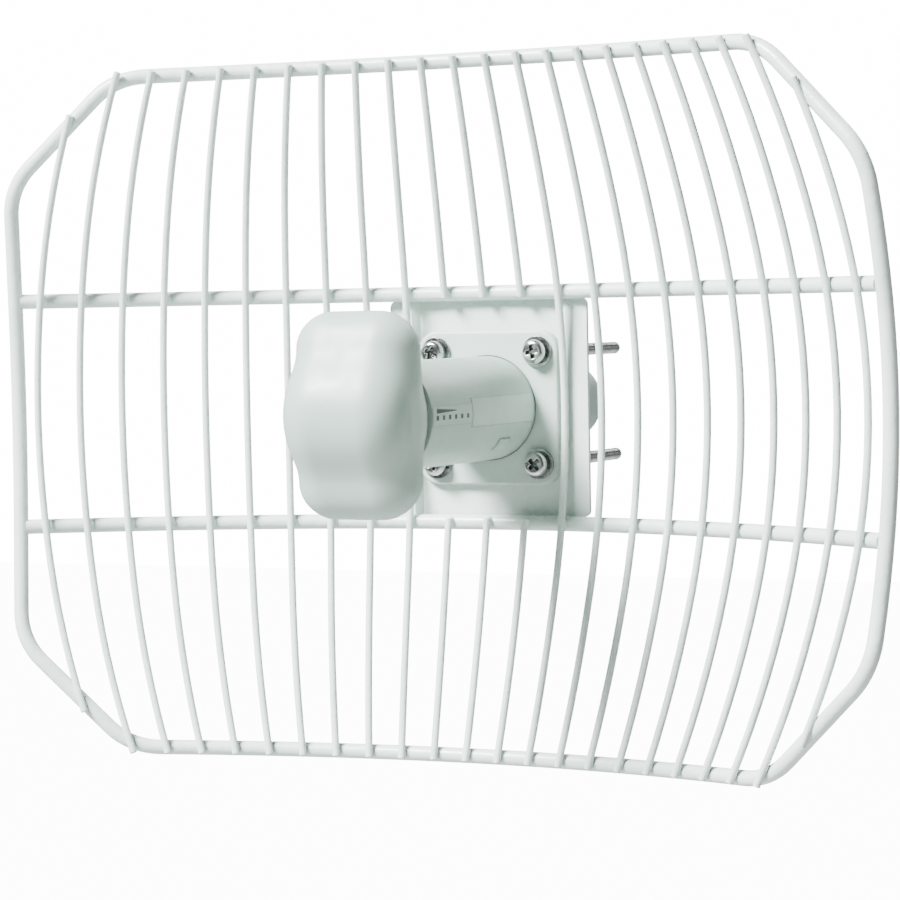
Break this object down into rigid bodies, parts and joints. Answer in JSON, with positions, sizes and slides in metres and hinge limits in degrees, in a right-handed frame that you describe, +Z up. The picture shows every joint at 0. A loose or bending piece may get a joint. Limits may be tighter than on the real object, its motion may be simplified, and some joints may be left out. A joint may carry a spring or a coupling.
{
  "type": "wire grid dish antenna",
  "caption": "Wire-grid parabolic dish antenna with a plug-in radio feed on its axis and a tilting clamp for a round pole.",
  "frame": {"origin": "middle of the gripped pole, on its axis, level with the feed's axis", "axes": "+Z up along the pole, +X towards the antenna (the pole is to the antenna's left as seen from the front), the dish looks along -Y"},
  "size_m": [0.3628, 0.248, 0.27],
  "materials": {
    "white_coat": "smooth white powder coat over steel wire and sheet",
    "bracket_plastic": "satin moulded plastic",
    "feed_plastic": "satin moulded plastic, UV stable",
    "cover_plastic": "satin moulded plastic",
    "zinc_sheet": "galvanised sheet",
    "cast_zinc": "galvanised casting",
    "zinc_hardware": "bright zinc plate",
    "seal_rubber": "moulded rubber",
    "board_green": "solder-masked glass laminate",
    "shield_tin": "tin plate",
    "jack_plastic": "moulded",
    "dipole_copper": "bare copper alloy",
    "clear_plastic": "clear moulding",
    "label_film": "printed film",
    "blank_film": "plain film"
  },
  "bodies": {
    "clamp": {"clamp_base": "cast_zinc", "clamp_bolts": "zinc_hardware", "tilt_bolts": "zinc_hardware", "tilt_washers": "zinc_hardware", "tilt_nuts": "zinc_hardware"},
    "jaw": {"clamp_jaw": "cast_zinc", "clamp_washers": "zinc_hardware", "clamp_nuts": "zinc_hardware"},
    "antenna": {"frame_ring": "white_coat", "upper_cross_rod": "white_coat", "lower_cross_rod": "white_coat", "centre_plate": "white_coat", "plate_welds": "white_coat", "mounting_flange": "bracket_plastic", "rear_collar": "bracket_plastic", "tilt_bracket": "zinc_sheet", "long_screws": "zinc_hardware", "split_washers": "zinc_hardware", "flat_washers": "zinc_hardware", "screw_nuts": "zinc_hardware", "upper_short_wires": "white_coat", "lower_short_wires": "white_coat", "grid_wires_02": "white_coat", "grid_wires_03": "white_coat", "grid_wires_04": "white_coat", "grid_wires_05": "white_coat", "grid_wires_06": "white_coat", "grid_wires_07": "white_coat", "grid_wires_08": "white_coat", "grid_wires_09": "white_coat", "grid_wires_10": "white_coat", "grid_wires_11": "white_coat"},
    "feed": {"feed_tube": "feed_plastic", "radome": "feed_plastic", "radome_base": "feed_plastic", "radome_seal": "seal_rubber", "radio_board": "board_green", "shield_can": "shield_tin", "network_jack": "jack_plastic", "dipole": "dipole_copper", "balun_link": "dipole_copper", "reflector_strip": "dipole_copper", "light_guide": "clear_plastic", "lamp_label": "label_film", "blank_label": "blank_film", "release_spring": "shield_tin", "reset_switch": "jack_plastic", "cover_seal": "seal_rubber"},
    "latch": {"release_button": "feed_plastic"},
    "cover": {"rear_cover": "cover_plastic", "cable_grommet": "seal_rubber"},
    "reset": {"reset_button": "jack_plastic"}
  },
  "joints": [
    {"name": "tilt", "type": "hinge", "parent": "clamp", "child": "antenna", "pos_m": [0.0272, 0, 0.031], "axis": [1, 0, 0], "range_deg": [-10, 10]},
    {"name": "jaw_slide", "type": "slide", "parent": "clamp", "child": "jaw", "axis": [-1, 0, 0], "range_m": [0, 0.01]},
    {"name": "feed_slide", "type": "slide", "parent": "antenna", "child": "feed", "axis": [0, -1, 0], "range_m": [0, 0.025]},
    {"name": "release_press", "type": "slide", "parent": "feed", "child": "latch", "axis": [-0.766, 0, 0.6428], "range_m": [0, 0.0012], "stiffness_N_per_m": 800, "deforming": ["release_spring"]},
    {"name": "cover_slide", "type": "slide", "parent": "feed", "child": "cover", "axis": [0, 1, 0], "range_m": [0, 0.01]},
    {"name": "reset_press", "type": "slide", "parent": "feed", "child": "reset", "axis": [0, -1, 0], "range_m": [0, 0.0004], "stiffness_N_per_m": 500}
  ]
}
